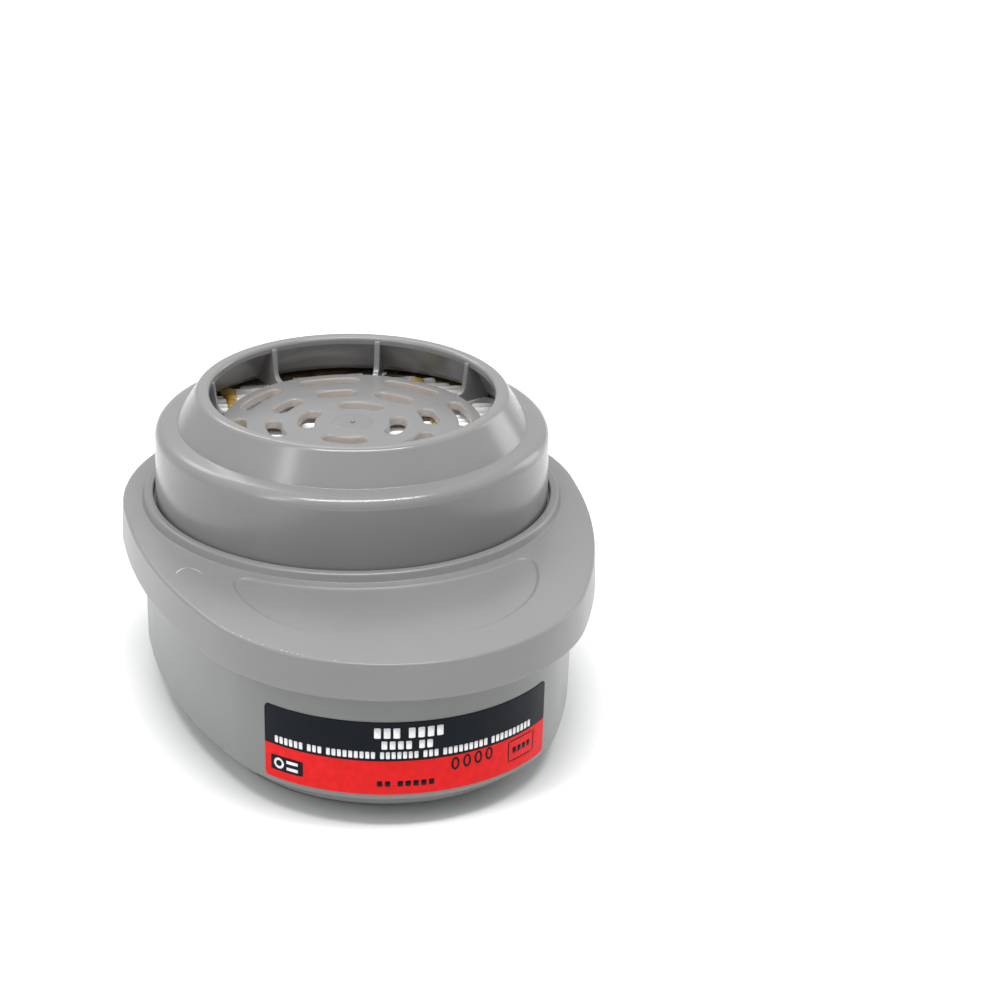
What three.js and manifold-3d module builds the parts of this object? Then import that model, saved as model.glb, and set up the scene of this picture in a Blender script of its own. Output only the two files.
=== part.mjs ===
// Combination respirator cartridge: an egg-shaped chemical cup with a round particulate filter on top.
// Millimetres, +Z up to the air inlet, -Y towards the label. The origin is on the seating face of the
// connector, midway along the lid. The drum axis stands DRUM_Y behind it.
import * as THREE from "three";
import { mergeVertices } from "three/addons/utils/BufferGeometryUtils.js";
import Module from "manifold-3d";

const wasm = await Module();
wasm.setup();

// Plan outline of the lid, about the drum axis: a half circle behind, slightly bowed sides, a tighter nose
const BACK_RADIUS = 43.4;
const NOSE_RADIUS = 36.7;
const NOSE_CENTRE = 35.5;
const SIDE_START = 3.3;
const NOSE_TIP = NOSE_CENTRE + NOSE_RADIUS;
const DRUM_Y = (NOSE_TIP - BACK_RADIUS) / 2;

// Clearance kept between pieces that touch, and the usual wall
const GAP = 0.3;
const WALL = 2.0;

// Heights above the connector's seating face
const STEP_BOTTOM = 2.7;
const CUP_BOTTOM = 5.3;
const SKIRT_BOTTOM = 27.2;
const LID_TOP = 34.2;
const BEAD_TOP = 35.4;
const DRUM_CREST = 48.9;
const COLLAR_BASE = 49.4;
const RIM_TOP = 55.6;

// Cup
const CUP_INSET = 4.3;
const STEP_INSET = CUP_INSET + 3.7;
const CUP_FILLET = 1.3;
const STEP_FLOOR = STEP_BOTTOM + 2.2;
const LEDGE_FLOOR = CUP_BOTTOM + WALL;

// Lid
const LID_PLATE = 2.2;
const SKIRT_WALL = 2.4;
const LID_FILLET = 0.9;
const LIP_DEPTH = 2.0;
const LID_OPENING = 31.0;
const LOCATING_WALL = 1.5;
const LOCATING_TOP = 38.0;
const BEAD_OUTER = 39.2;
const BEAD_INNER = 37.4;
const SPOKE_WIDTH = 1.6;
const SPOKE_HUB = 6.0;
const PANEL_INSET = 9.5;
const PANEL_INNER = 42.0;
const PANEL_DEPTH = 0.35;

// Filter shell
const DRUM_OUTER = 37.0;
const DRUM_INNER = 34.8;
const CREST_RADIUS = 1.6;
const COLLAR_OUTER = 32.8;
const RIM_OUTER = 28.9;
const RIM_INNER = 26.6;
const RIM_ROUND = 1.1;
const LAND_BOTTOM = 54.0;
const LAND_ROOT = 28.0;
const THROAT = 30.9;
const THROAT_BOTTOM = 48.2;
const SHOULDER_ROOT = 32.2;
const GRILLE_RADIUS = 24.4;
const GRILLE_TOP = 48.8;
const GRILLE_THICK = 1.8;
const FIN_COUNT = 8;
const FIN_THICK = 1.1;
const FIN_TOP = 55.0;
const FIN_HEAD = 26.2;
const FIN_EDGE = 25.6;
const FIN_FOOT = 0.7;
const FIRST_FIN = 160;
const OUTER_SLOTS = { radius: 21.2, width: 2.5, count: 8, length: 33, first: 182.5 };
const MIDDLE_SLOTS = { radius: 14.8, width: 2.9, count: 8, length: 30, first: 182.5 };
const INNER_SLOTS = { radius: 8.6, width: 3.0, count: 4, length: 57, first: 160 };

// Connector, under the cup in front of the drum axis
const CONNECTOR_CENTRE = 31.0;
const BOSS_RADIUS = 28.5;
const BOSS_TOP = STEP_BOTTOM - GAP;
const TUBE_OUTER = 22.5;
const SOCKET_RADIUS = 20.7;
const TUBE_TOP = LEDGE_FLOOR - GAP;
const LUG_REACH = 18.2;
const LUG_BOTTOM = 0.5;
const LUG_TOP = 2.3;
const LUG_COUNT = 3;
const LUG_ANGLE = 40;

// Bed stack, from the outlet grid up
const GRID_THICK = 1.2;
const PAD_THICK = 2.0;
const BED_DEPTH = 16.0;
const TOP_PAD_THICK = 1.5;
const PLATE_THICK = 1.4;
const STACK_INSET = CUP_INSET + WALL + GAP;
const STACK_SLOT = 3.2;
const STACK_SLOT_PITCH = 7.5;
const STACK_SLOT_MARGIN = 5.0;
const STACK_SPINE = 5.0;

// Particulate media
const MEDIA_RADIUS = 33.0;
const MEDIA_BOTTOM = 38.8;
const MEDIA_TOP = 45.8;
const PLEAT_PITCH = 2.5;
const PAPER = 0.7;
const POTTING_BOTTOM = 40.5;
const POTTING_TOP = 46.4;
const SEPARATOR_X = 18.5;
const SEPARATOR_HALF_LENGTH = 25.0;
const SEPARATOR_WIDTH = 1.6;
const SEPARATOR_HEIGHT = 0.6;

// Label
const LABEL_HALF_WIDTH = 24.9;
const LABEL_BOTTOM = 6.8;
const LABEL_TOP = 21.0;
const LABEL_THICK = 0.3;

// Facets around a full circle, a hidden circle, the egg's side and nose, a rounded edge and a slot
const ROUND_STEPS = 48;
const HIDDEN_STEPS = 32;
const SIDE_STEPS = 5;
const NOSE_STEPS = 22;
const FILLET_STEPS = 2;
const SLOT_STEPS = 4;

// Reach of a cutting or joining solid past the face that it passes through, and past the whole part
const OVERLAP = 1.0;
const BEYOND = 80;

const TURN = 2 * Math.PI;
const radians = THREE.MathUtils.degToRad;

// ---------------------------------------------------------------- outlines

function arc(cx, cy, radius, from, to, steps) {
  const points = [];
  for (let i = 0; i < steps; i += 1) {
    const angle = from + ((to - from) * i) / steps;
    points.push(new THREE.Vector2(cx + radius * Math.cos(angle), cy + radius * Math.sin(angle)));
  }
  return points;
}

// The egg outline, moved inwards by inset; its arcs keep their centres, so it stays smooth
function egg(inset) {
  const rise = NOSE_CENTRE - SIDE_START;
  const side = (BACK_RADIUS ** 2 + rise ** 2 - NOSE_RADIUS ** 2) / (2 * (BACK_RADIUS - NOSE_RADIUS));
  const sideX = side - BACK_RADIUS;
  const meet = Math.atan2(rise, sideX);
  return [
    ...arc(0, 0, BACK_RADIUS - inset, 0, Math.PI, ROUND_STEPS / 2),
    new THREE.Vector2(inset - BACK_RADIUS, 0),
    ...arc(sideX, -SIDE_START, side - inset, Math.PI, Math.PI + meet, SIDE_STEPS),
    ...arc(0, -NOSE_CENTRE, NOSE_RADIUS - inset, Math.PI + meet, TURN - meet, NOSE_STEPS),
    ...arc(-sideX, -SIDE_START, side - inset, TURN - meet, TURN, SIDE_STEPS),
    new THREE.Vector2(BACK_RADIUS - inset, -SIDE_START),
  ];
}

// ---------------------------------------------------------------- solids

function solid(geometry) {
  const bare = geometry.index ? geometry.clone() : geometry;
  bare.deleteAttribute("normal");
  bare.deleteAttribute("uv");
  const merged = mergeVertices(bare);
  return new wasm.Manifold(new wasm.Mesh({
    numProp: 3,
    vertProperties: merged.attributes.position.array,
    triVerts: new Uint32Array(merged.index.array),
  }));
}

// An upright prism on an outline
function prism(points, bottom, top) {
  const options = { depth: top - bottom, bevelEnabled: false };
  return solid(new THREE.ExtrudeGeometry(new THREE.Shape(points), options).translate(0, 0, bottom));
}

// A prism whose top and bottom edges are rounded over, inside the outline
function roundedPrism(points, bottom, top, fillet) {
  const geometry = new THREE.ExtrudeGeometry(new THREE.Shape(points), {
    depth: top - bottom - 2 * fillet,
    bevelThickness: fillet,
    bevelSize: fillet,
    bevelOffset: -fillet,
    bevelSegments: FILLET_STEPS,
  });
  return solid(geometry.translate(0, 0, bottom + fillet));
}

// A ring or disc from a closed profile of [radius, height] pairs, listed anticlockwise
function revolve(profile, steps = ROUND_STEPS) {
  const points = profile.map(([radius, height]) => new THREE.Vector2(radius, height));
  if (profile[0][0] > 0) {
    points.push(points[0].clone());
  }
  return solid(new THREE.LatheGeometry(points, steps).rotateX(Math.PI / 2));
}

function ring(inner, outer, bottom, top, steps) {
  return revolve([[inner, bottom], [outer, bottom], [outer, top], [inner, top]], steps);
}

function disc(radius, bottom, top, steps) {
  return revolve([[0, bottom], [radius, bottom], [radius, top], [0, top]], steps);
}

function box(width, depth, height, x, y, bottom) {
  const geometry = new THREE.BoxGeometry(width, depth, height);
  return solid(geometry.translate(x, y, bottom + height / 2));
}

function joined(solids) {
  return solids.reduce((whole, piece) => whole.add(piece));
}

// A piece of a ring between two radii, centred on an angle measured from the front towards +X
function sector(inner, outer, middle, spread, bottom, top) {
  const from = radians(middle - spread / 2 - 90);
  const to = radians(middle + spread / 2 - 90);
  const outside = arc(0, 0, outer, from, to, SLOT_STEPS);
  const inside = arc(0, 0, inner, to, from, SLOT_STEPS);
  outside.push(new THREE.Vector2(outer * Math.cos(to), outer * Math.sin(to)));
  inside.push(new THREE.Vector2(inner * Math.cos(from), inner * Math.sin(from)));
  return prism([...outside, ...inside], bottom, top);
}

// ---------------------------------------------------------------- moulded pieces

function cupBody() {
  const rimTop = LID_TOP - LID_PLATE - GAP;
  const blank = roundedPrism(egg(CUP_INSET), CUP_BOTTOM, rimTop + CUP_FILLET, CUP_FILLET);
  const outside = joined([
    blank.intersect(prism(egg(0), 0, rimTop)),
    prism(egg(STEP_INSET), STEP_BOTTOM, LEDGE_FLOOR),
    prism(egg(SKIRT_WALL + GAP), rimTop - LIP_DEPTH, rimTop),
  ]);
  const hollow = joined([
    prism(egg(CUP_INSET + WALL), LEDGE_FLOOR, BEYOND),
    prism(egg(STEP_INSET + WALL), STEP_FLOOR, BEYOND),
    disc(TUBE_OUTER + GAP, 0, BEYOND).translate([0, -CONNECTOR_CENTRE, 0]),
  ]);
  return outside.subtract(hollow);
}

function bayonetConnector() {
  const pieces = [
    ring(SOCKET_RADIUS, BOSS_RADIUS, 0, BOSS_TOP),
    ring(SOCKET_RADIUS, TUBE_OUTER, 0, TUBE_TOP),
  ];
  for (let i = 0; i < LUG_COUNT; i += 1) {
    const middle = (360 / LUG_COUNT) * i;
    pieces.push(sector(LUG_REACH, SOCKET_RADIUS + OVERLAP, middle, LUG_ANGLE, LUG_BOTTOM, LUG_TOP));
  }
  return joined(pieces).translate([0, -CONNECTOR_CENTRE, 0]);
}

function lidBead() {
  const crown = (BEAD_OUTER - BEAD_INNER) / 2;
  const profile = [[BEAD_INNER, LID_TOP - OVERLAP], [BEAD_OUTER, LID_TOP - OVERLAP]];
  for (const angle of [0, 45, 90, 135, 180]) {
    const lift = (BEAD_TOP - LID_TOP) * Math.sin(radians(angle));
    profile.push([BEAD_INNER + crown + crown * Math.cos(radians(angle)), LID_TOP + lift]);
  }
  return revolve(profile);
}

// The shallow crescent recess in front of the drum
function lidPanel() {
  const lens = prism(egg(PANEL_INSET), LID_TOP - PANEL_DEPTH, BEYOND);
  const front = box(BEYOND, BEYOND, BEYOND, 0, -(BEYOND + PANEL_INNER) / 2, 0);
  return lens.subtract(disc(PANEL_INNER, 0, BEYOND)).intersect(front);
}

function cover() {
  const under = LID_TOP - LID_PLATE;
  const shell = roundedPrism(egg(0), SKIRT_BOTTOM, LID_TOP, LID_FILLET)
    .subtract(prism(egg(SKIRT_WALL), 0, under))
    .subtract(disc(LID_OPENING, 0, BEYOND))
    .subtract(lidPanel());
  const pieces = [
    shell,
    ring(LID_OPENING, LID_OPENING + LOCATING_WALL, under, LOCATING_TOP),
    disc(SPOKE_HUB, under, LID_TOP, HIDDEN_STEPS),
    lidBead(),
  ];
  const span = 2 * LID_OPENING + OVERLAP;
  for (const turn of [0, 60, 120]) {
    pieces.push(box(span, SPOKE_WIDTH, LID_PLATE, 0, 0, under).rotate([0, 0, turn]));
  }
  return joined(pieces);
}

function slotRing({ radius, width, count, length, first }) {
  const inner = radius - width / 2;
  const outer = radius + width / 2;
  const slots = [];
  for (let i = 0; i < count; i += 1) {
    const middle = first + (360 / count) * i;
    slots.push(sector(inner, outer, middle, length, 0, BEYOND));
  }
  return joined(slots);
}

function grille() {
  return disc(GRILLE_RADIUS, GRILLE_TOP - GRILLE_THICK, GRILLE_TOP)
    .subtract(slotRing(OUTER_SLOTS))
    .subtract(slotRing(MIDDLE_SLOTS))
    .subtract(slotRing(INNER_SLOTS));
}

// Thin upright fins that carry the grille from the inside of the sloping collar
function fins() {
  const bottom = GRILLE_TOP - GRILLE_THICK;
  const inner = GRILLE_RADIUS - GAP;
  const fin = prism([
    new THREE.Vector2(inner, bottom),
    new THREE.Vector2(THROAT + GAP, bottom),
    new THREE.Vector2(THROAT + GAP, GRILLE_TOP),
    new THREE.Vector2(LAND_ROOT + GAP, FIN_TOP),
    new THREE.Vector2(FIN_HEAD, FIN_TOP),
    new THREE.Vector2(FIN_EDGE, GRILLE_TOP + FIN_FOOT),
    new THREE.Vector2(inner, GRILLE_TOP),
  ], -FIN_THICK / 2, FIN_THICK / 2).rotate([90, 0, 0]);
  const all = [];
  for (let i = 0; i < FIN_COUNT; i += 1) {
    all.push(fin.rotate([0, 0, FIRST_FIN - 90 + (360 / FIN_COUNT) * i]));
  }
  return joined(all);
}

function filterShell() {
  const crestCentre = DRUM_CREST - CREST_RADIUS;
  const profile = [[DRUM_INNER, LID_TOP + GAP], [DRUM_OUTER, LID_TOP + GAP]];
  for (const angle of [0, 30, 60, 90]) {
    const reach = CREST_RADIUS * Math.cos(radians(angle));
    const lift = CREST_RADIUS * Math.sin(radians(angle));
    profile.push([DRUM_OUTER - CREST_RADIUS + reach, crestCentre + lift]);
  }
  profile.push([COLLAR_OUTER, COLLAR_BASE]);
  const rimMiddle = (RIM_OUTER + RIM_INNER) / 2;
  const rimHalf = (RIM_OUTER - RIM_INNER) / 2;
  for (const angle of [0, 45, 90, 135, 180]) {
    const lift = RIM_ROUND * Math.sin(radians(angle));
    profile.push([rimMiddle + rimHalf * Math.cos(radians(angle)), RIM_TOP - RIM_ROUND + lift]);
  }
  profile.push([RIM_INNER, LAND_BOTTOM]);
  profile.push([LAND_ROOT, LAND_BOTTOM]);
  profile.push([THROAT, THROAT_BOTTOM]);
  profile.push([SHOULDER_ROOT, DRUM_CREST - WALL]);
  profile.push([DRUM_INNER, DRUM_CREST - WALL]);
  return joined([revolve(profile), grille(), fins()]);
}

// ---------------------------------------------------------------- bed stack

// Parallel slots across a plate, in two halves either side of a spine, kept inside its margin
function plateSlots(bottom, top) {
  const rows = [];
  const half = BACK_RADIUS - STACK_SPINE / 2;
  for (let y = -NOSE_TIP + STACK_SLOT_PITCH; y < BACK_RADIUS; y += STACK_SLOT_PITCH) {
    for (const side of [-1, 1]) {
      const x = (side * (half + STACK_SPINE)) / 2;
      rows.push(box(half, STACK_SLOT, top - bottom + 2 * OVERLAP, x, y, bottom - OVERLAP));
    }
  }
  return joined(rows).intersect(prism(egg(STACK_INSET + STACK_SLOT_MARGIN), 0, BEYOND));
}

function slottedPlate(bottom, top) {
  return prism(egg(STACK_INSET), bottom, top).subtract(plateSlots(bottom, top));
}

function layer(bottom, top) {
  return prism(egg(STACK_INSET), bottom, top);
}

// ---------------------------------------------------------------- particulate media and adhesives

// Zigzag paper: the outline of the folded sheet seen from its edge, cut round
function pleatedMedia() {
  const lower = [];
  const upper = [];
  const folds = 2 * Math.floor((2 * MEDIA_RADIUS) / PLEAT_PITCH);
  const half = (folds * PLEAT_PITCH) / 4;
  for (let i = 0; i <= folds; i += 1) {
    const along = -half + (i * PLEAT_PITCH) / 2;
    const high = i % 2 === 1;
    lower.push(new THREE.Vector2(along, high ? MEDIA_TOP - 2 * PAPER : MEDIA_BOTTOM));
    upper.unshift(new THREE.Vector2(along, high ? MEDIA_TOP : MEDIA_BOTTOM + 2 * PAPER));
  }
  const sheet = prism([...lower, ...upper], -MEDIA_RADIUS, MEDIA_RADIUS);
  return sheet.rotate([90, 0, 90]).intersect(disc(MEDIA_RADIUS, 0, BEYOND));
}

function separatorBead(x) {
  const bottom = MEDIA_TOP + GAP;
  const depth = 2 * SEPARATOR_HALF_LENGTH;
  return box(SEPARATOR_WIDTH, depth, SEPARATOR_HEIGHT, x, 0, bottom);
}

function coverSealBead() {
  const top = LID_TOP - LID_PLATE - GAP - LIP_DEPTH - GAP;
  return prism(egg(SKIRT_WALL + GAP), SKIRT_BOTTOM + GAP, top)
    .subtract(prism(egg(CUP_INSET - GAP), 0, BEYOND));
}

function shellSealBead() {
  const inner = LID_OPENING + LOCATING_WALL + GAP;
  return ring(inner, DRUM_INNER - GAP, LID_TOP + GAP, LOCATING_TOP - OVERLAP, HIDDEN_STEPS);
}

function pottingRing() {
  return ring(MEDIA_RADIUS + GAP, DRUM_INNER - GAP, POTTING_BOTTOM, POTTING_TOP, HIDDEN_STEPS);
}

function label() {
  const inner = CUP_INSET - GAP;
  const height = LABEL_TOP - LABEL_BOTTOM;
  const front = box(2 * LABEL_HALF_WIDTH, BEYOND, height, 0, -BEYOND / 2, LABEL_BOTTOM);
  const sleeve = prism(egg(inner - LABEL_THICK), 0, LID_TOP).subtract(prism(egg(inner), -OVERLAP, BEYOND));
  return sleeve.intersect(front);
}

// ---------------------------------------------------------------- assembly

const cupGrey = { color: 0x868a87, roughness: 0.42, metalness: 0 };
const lidGrey = { color: 0x938f8d, roughness: 0.38, metalness: 0 };
const shellGrey = { color: 0x8c8c8b, roughness: 0.38, metalness: 0 };
const gridWhite = { color: 0xd9d8d2, roughness: 0.5, metalness: 0 };
const felt = { color: 0xe8e6df, roughness: 0.95, metalness: 0 };
const carbon = { color: 0x16161a, roughness: 0.9, metalness: 0 };
const paper = { color: 0xf2f1ec, roughness: 0.9, metalness: 0 };
const amber = { color: 0xb07a2c, roughness: 0.2, metalness: 0 };
const epoxy = { color: 0x6e6a62, roughness: 0.3, metalness: 0 };
const print = { color: 0x25262c, roughness: 0.35, metalness: 0 };

const cartridge = new THREE.Group();
cartridge.position.y = DRUM_Y;

function add(name, shape, finish) {
  const { vertProperties, triVerts } = shape.getMesh();
  const geometry = new THREE.BufferGeometry();
  geometry.setAttribute("position", new THREE.BufferAttribute(vertProperties, 3));
  geometry.setIndex(new THREE.BufferAttribute(triVerts, 1));
  geometry.computeVertexNormals();
  const mesh = new THREE.Mesh(geometry, new THREE.MeshStandardMaterial(finish));
  mesh.name = name;
  cartridge.add(mesh);
}

// The layers between the cup's ledge and the lid, listed from the outlet up
function addBedStack() {
  const layers = [
    ["outlet_grid", GRID_THICK, slottedPlate, gridWhite],
    ["outlet_pad", PAD_THICK, layer, felt],
    ["carbon_bed", BED_DEPTH, layer, carbon],
    ["inlet_pad", TOP_PAD_THICK, layer, felt],
    ["retainer_plate", PLATE_THICK, slottedPlate, gridWhite],
  ];
  let bottom = LEDGE_FLOOR + GAP;
  for (const [name, thick, shape, finish] of layers) {
    add(name, shape(bottom, bottom + thick), finish);
    bottom += thick + GAP;
  }
}

add("cup_body", cupBody(), cupGrey);
add("bayonet_connector", bayonetConnector(), cupGrey);
addBedStack();
add("cover", cover(), lidGrey);
add("cover_seal_bead", coverSealBead(), epoxy);
add("filter_shell", filterShell(), shellGrey);
add("shell_seal_bead", shellSealBead(), epoxy);
add("pleated_media", pleatedMedia(), paper);
add("potting_ring", pottingRing(), amber);
add("separator_bead_left", separatorBead(-SEPARATOR_X), amber);
add("separator_bead_centre", separatorBead(0), amber);
add("separator_bead_right", separatorBead(SEPARATOR_X), amber);
add("label", label(), print);

export default cartridge;
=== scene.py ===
# Combination respirator cartridge. Lengths below are millimetres until a mesh is made, in metres.
import math
import random

import bmesh
import bpy
from mathutils import Matrix, Vector, noise


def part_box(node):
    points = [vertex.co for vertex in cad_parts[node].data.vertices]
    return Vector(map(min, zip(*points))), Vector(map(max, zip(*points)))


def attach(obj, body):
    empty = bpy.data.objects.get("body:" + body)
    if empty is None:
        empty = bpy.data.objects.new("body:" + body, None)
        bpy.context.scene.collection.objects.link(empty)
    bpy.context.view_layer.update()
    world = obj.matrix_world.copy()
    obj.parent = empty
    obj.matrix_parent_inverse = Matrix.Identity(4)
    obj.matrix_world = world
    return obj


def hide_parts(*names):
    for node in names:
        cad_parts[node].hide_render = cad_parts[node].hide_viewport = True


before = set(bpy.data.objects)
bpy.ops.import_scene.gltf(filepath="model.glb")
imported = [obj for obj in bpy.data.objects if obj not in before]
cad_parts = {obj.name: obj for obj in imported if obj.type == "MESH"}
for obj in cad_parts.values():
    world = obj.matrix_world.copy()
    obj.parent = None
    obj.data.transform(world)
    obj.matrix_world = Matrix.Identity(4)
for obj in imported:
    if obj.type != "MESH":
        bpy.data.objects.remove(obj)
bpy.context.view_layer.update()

MM = 0.001
TURN = 2 * math.pi


def box_mm(node):
    """The lowest and highest corners of a CAD node, in millimetres."""
    low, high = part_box(node)
    return low / MM, high / MM


# ---------------------------------------------------------------- sizes

shell_low, shell_high = box_mm("filter_shell")
lid_low, lid_high = box_mm("cover")
cup_low, cup_high = box_mm("cup_body")
boss_low, boss_high = box_mm("bayonet_connector")
label_low, label_high = box_mm("label")
media_low, media_high = box_mm("pleated_media")
potting_low, potting_high = box_mm("potting_ring")

DRUM = Vector((0, (shell_low.y + shell_high.y) / 2))
DRUM_RADIUS = shell_high.x
SOCKET = Vector((0, (boss_low.y + boss_high.y) / 2))
BOSS_RADIUS = boss_high.x

# Plan outline of the lid: the half circle behind, the nose arc in front and the bowed sides between
BACK_RADIUS = lid_high.x
NOSE_RADIUS = 36.7
NOSE_CENTRE = DRUM.y - lid_low.y - NOSE_RADIUS
SIDE_START = 3.3

# The cup's outlines lie inside the lid's: its wall at half height, and the stepped floor
CUP_BACK_RADIUS = 39.1
CUP_INSET = BACK_RADIUS - CUP_BACK_RADIUS
STEP_INSET = CUP_INSET + 3.7
CUP_DRAFT = 0.35
CUP_WALL = 2.0
CUP_FLOOR = 2.2

# Heights
FLOOR = boss_low.z
STEP_BOTTOM = cup_low.z
CUP_BOTTOM = STEP_BOTTOM + 2.6
SKIRT_BOTTOM = lid_low.z
DRUM_GAP = 0.3
LID_TOP = shell_low.z - DRUM_GAP
LID_THICK = 2.2
RIM_TOP = shell_high.z
GRILLE_TOP = RIM_TOP - 6.8
GRILLE_THICK = 1.8
GRILLE_RADIUS = 24.4

# The media's folds, front to back, and the fins about the drum, in degrees from the front
FOLD_PITCH = 2.4
FIN_COUNT = 8
FIRST_FIN = 160

# Points around a full circle and along the egg's arcs
ROUND_STEPS = 224
BACK_STEPS = 112
SIDE_STEPS = 20
NOSE_STEPS = 84
FILLET_STEPS = 5

# A point this far outside a rounding keeps the flat beside it flat
SUPPORT = 0.07


# ---------------------------------------------------------------- outlines

def arc(centre, radius, start, end, steps):
    """Points along an arc, without its last one."""
    points = []
    for i in range(steps):
        angle = start + (end - start) * i / steps
        points.append(centre + radius * Vector((math.cos(angle), math.sin(angle))))
    return points


def circle(centre, radius, steps=ROUND_STEPS):
    return arc(centre, radius, 0, TURN, steps)


def egg(inset):
    """The lid's outline moved inwards, about the drum axis. Its arcs keep their centres."""
    rise = NOSE_CENTRE - SIDE_START
    side = (BACK_RADIUS ** 2 + rise ** 2 - NOSE_RADIUS ** 2) / (2 * (BACK_RADIUS - NOSE_RADIUS))
    reach = side - BACK_RADIUS
    meet = math.atan2(rise, reach)
    back = arc(DRUM, BACK_RADIUS - inset, 0, math.pi, BACK_STEPS)
    left = arc(DRUM + Vector((reach, -SIDE_START)), side - inset, math.pi, math.pi + meet, SIDE_STEPS)
    nose_at = DRUM - Vector((0, NOSE_CENTRE))
    nose = arc(nose_at, NOSE_RADIUS - inset, math.pi + meet, TURN - meet, NOSE_STEPS)
    right = arc(DRUM - Vector((reach, SIDE_START)), side - inset, TURN - meet, TURN, SIDE_STEPS)
    waist = BACK_RADIUS - inset
    back_end = DRUM - Vector((waist, 0))
    right_end = DRUM + Vector((waist, -SIDE_START))
    return back + [back_end] + left + nose + right + [right_end]


def lifted(points, height):
    return [Vector((p.x, p.y, height)) for p in points]


def egg_ring(inset, height):
    return lifted(egg(inset), height)


def fan_ring(centre, radius, height, inset):
    """A circle whose points lie in line with those of the egg outline, seen from its centre."""
    return lifted([centre + (p - centre).normalized() * radius for p in egg(inset)], height)


def rounded(corners):
    """Points of a closed outline of (across, up, radius) corners, each rounded to its radius."""
    points = []
    for i, (across, up, radius) in enumerate(corners):
        here = Vector((across, up))
        if not radius:
            points.append(here)
            continue
        back = Vector(corners[i - 1][:2]) - here
        ahead = Vector(corners[(i + 1) % len(corners)][:2]) - here
        half = back.angle(ahead) / 2
        reach = min(radius / math.tan(half), 0.45 * back.length, 0.45 * ahead.length)
        back.normalize()
        ahead.normalize()
        centre = here + (back + ahead).normalized() * (reach / math.cos(half))
        side = 1 if ahead.x * back.y - ahead.y * back.x > 0 else -1
        spoke = here + back * reach - centre
        sweep = side * (math.pi - 2 * half)
        points.append(here + back * (reach + SUPPORT))
        for k in range(FILLET_STEPS + 1):
            turned = Matrix.Rotation(sweep * k / FILLET_STEPS, 2) @ spoke
            points.append(centre + turned)
        points.append(here + ahead * (reach + SUPPORT))
    return points


# ---------------------------------------------------------------- meshes

def mesh_object(name, points, faces):
    mesh = bpy.data.meshes.new(name)
    mesh.from_pydata([p * MM for p in points], [], faces)
    tidy_mesh(mesh)
    piece = bpy.data.objects.new(name, mesh)
    bpy.context.scene.collection.objects.link(piece)
    return piece


def tidy_mesh(mesh):
    """Merges doubled points, turns the faces outwards and shades them smooth."""
    work = bmesh.new()
    work.from_mesh(mesh)
    bmesh.ops.remove_doubles(work, verts=work.verts, dist=1e-7)
    bmesh.ops.dissolve_degenerate(work, edges=work.edges, dist=1e-8)
    bmesh.ops.recalc_face_normals(work, faces=work.faces)
    for face in work.faces:
        face.smooth = True
    work.to_mesh(mesh)
    work.free()


def loft(name, rings, closed=True):
    """A skin over rings of points. The last ring joins the first, or both ends are capped."""
    count = len(rings[0])
    faces = []
    for i in range(len(rings) if closed else len(rings) - 1):
        low = i * count
        high = (i + 1) % len(rings) * count
        for j in range(count):
            k = (j + 1) % count
            faces.append((low + j, low + k, high + k, high + j))
    if not closed:
        faces.append(tuple(range(count)))
        faces.append(tuple(range(len(rings) * count - 1, (len(rings) - 1) * count - 1, -1)))
    return mesh_object(name, [p for ring in rings for p in ring], faces)


def revolve(name, centre, corners, steps=ROUND_STEPS):
    """A ring about an upright axis, from a closed outline of (radius, height, rounding) corners."""
    return loft(name, [lifted(circle(centre, p.x, steps), p.y) for p in rounded(corners)])


def apply_modifiers(piece):
    graph = bpy.context.evaluated_depsgraph_get()
    made = bpy.data.meshes.new_from_object(piece.evaluated_get(graph))
    old = piece.data
    piece.modifiers.clear()
    piece.data = made
    bpy.data.meshes.remove(old)


def combine(target, other, operation):
    """Joins or cuts target with other, which is used up."""
    modifier = target.modifiers.new("combine", "BOOLEAN")
    modifier.operation = operation
    modifier.solver = "EXACT"
    modifier.object = other
    apply_modifiers(target)
    bpy.data.objects.remove(other)


def join(target, others):
    """Adds other objects' meshes to target's as they are."""
    work = bmesh.new()
    work.from_mesh(target.data)
    for other in others:
        work.from_mesh(other.data)
        bpy.data.objects.remove(other)
    work.to_mesh(target.data)
    work.free()


def plate(name, outline, holes, bottom, top, edge):
    """A flat plate with holes, its edges rounded. Outlines run anticlockwise and holes clockwise."""
    curve = bpy.data.curves.new(name, "CURVE")
    curve.dimensions = "2D"
    curve.fill_mode = "BOTH"
    curve.extrude = ((top - bottom) / 2 - edge) * MM
    curve.bevel_depth = edge * MM
    curve.bevel_resolution = 2
    curve.offset = -edge * MM
    for points in [outline, *holes]:
        spline = curve.splines.new("POLY")
        spline.points.add(len(points) - 1)
        spline.use_cyclic_u = True
        for target, point in zip(spline.points, points):
            target.co = (point.x * MM, point.y * MM, 0, 1)
    drawn = bpy.data.objects.new(name + "_outline", curve)
    bpy.context.scene.collection.objects.link(drawn)
    graph = bpy.context.evaluated_depsgraph_get()
    mesh = bpy.data.meshes.new_from_object(drawn.evaluated_get(graph))
    bpy.data.objects.remove(drawn)
    mesh.transform(Matrix.Translation((0, 0, (top + bottom) / 2 * MM)))
    tidy_mesh(mesh)
    piece = bpy.data.objects.new(name, mesh)
    bpy.context.scene.collection.objects.link(piece)
    return piece


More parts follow.
